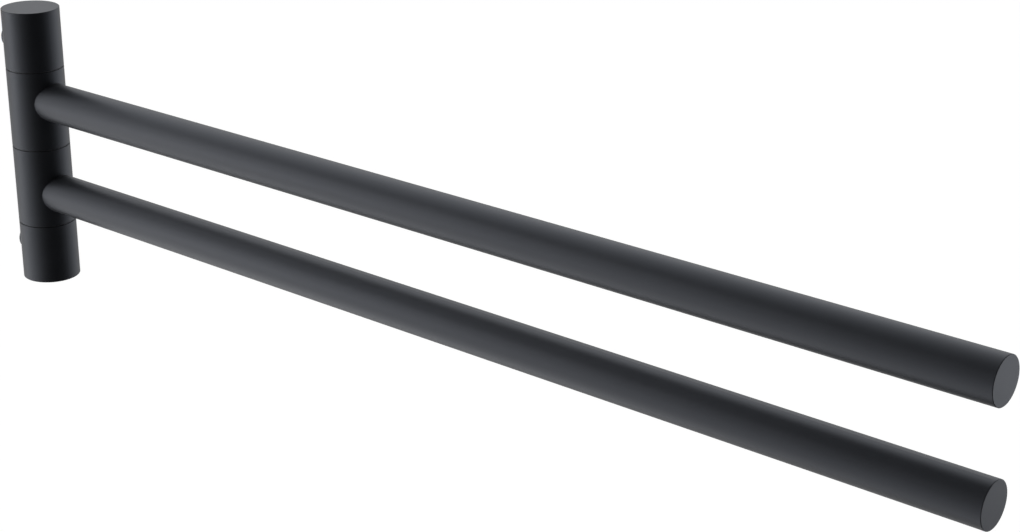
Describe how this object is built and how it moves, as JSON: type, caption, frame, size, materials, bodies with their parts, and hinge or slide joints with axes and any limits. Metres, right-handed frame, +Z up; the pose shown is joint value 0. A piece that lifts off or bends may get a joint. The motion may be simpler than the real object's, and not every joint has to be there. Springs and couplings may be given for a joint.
{
  "type": "swing-arm towel rack",
  "caption": "Wall-mounted towel rack with two straight round arms that swivel on one upright column.",
  "frame": {"origin": "on the wall plane, midway between the axes of the two wall studs", "axes": "+X straight out from the wall, along both arms at rest; +Z up, along the column; the set screws face +Y"},
  "size_m": [0.4248, 0.022, 0.1084],
  "materials": {
    "black_coat": "matte black coating over steel, faintly bluish in the light",
    "ground_steel": "ground",
    "blackened_steel": "blackened",
    "black_polymer": "plain"
  },
  "bodies": {
    "column": {"top_hub": "black_coat", "bottom_hub": "black_coat", "spindle": "ground_steel", "top_wall_stub": "black_coat", "bottom_wall_stub": "black_coat", "top_set_screw": "blackened_steel", "bottom_set_screw": "blackened_steel", "tension_screw": "blackened_steel", "spring_washer": "ground_steel", "top_thrust_washer": "black_polymer", "middle_thrust_washer": "black_polymer", "bottom_thrust_washer": "black_polymer"},
    "upper_arm": {"upper_arm_hub": "black_coat", "upper_arm_tube": "black_coat", "upper_arm_end_plug": "black_coat", "upper_arm_outer_bush": "black_polymer", "upper_arm_inner_bush": "black_polymer"},
    "lower_arm": {"lower_arm_hub": "black_coat", "lower_arm_tube": "black_coat", "lower_arm_end_plug": "black_coat", "lower_arm_outer_bush": "black_polymer", "lower_arm_inner_bush": "black_polymer"}
  },
  "joints": [
    {"name": "upper_arm_swing", "type": "hinge", "parent": "column", "child": "upper_arm", "pos_m": [0.0128, 0, 0.01843], "axis": [0, 0, 1], "range_deg": [-90, 90]},
    {"name": "lower_arm_swing", "type": "hinge", "parent": "column", "child": "lower_arm", "pos_m": [0.0128, 0, -0.01843], "axis": [0, 0, 1], "range_deg": [-90, 90]}
  ]
}
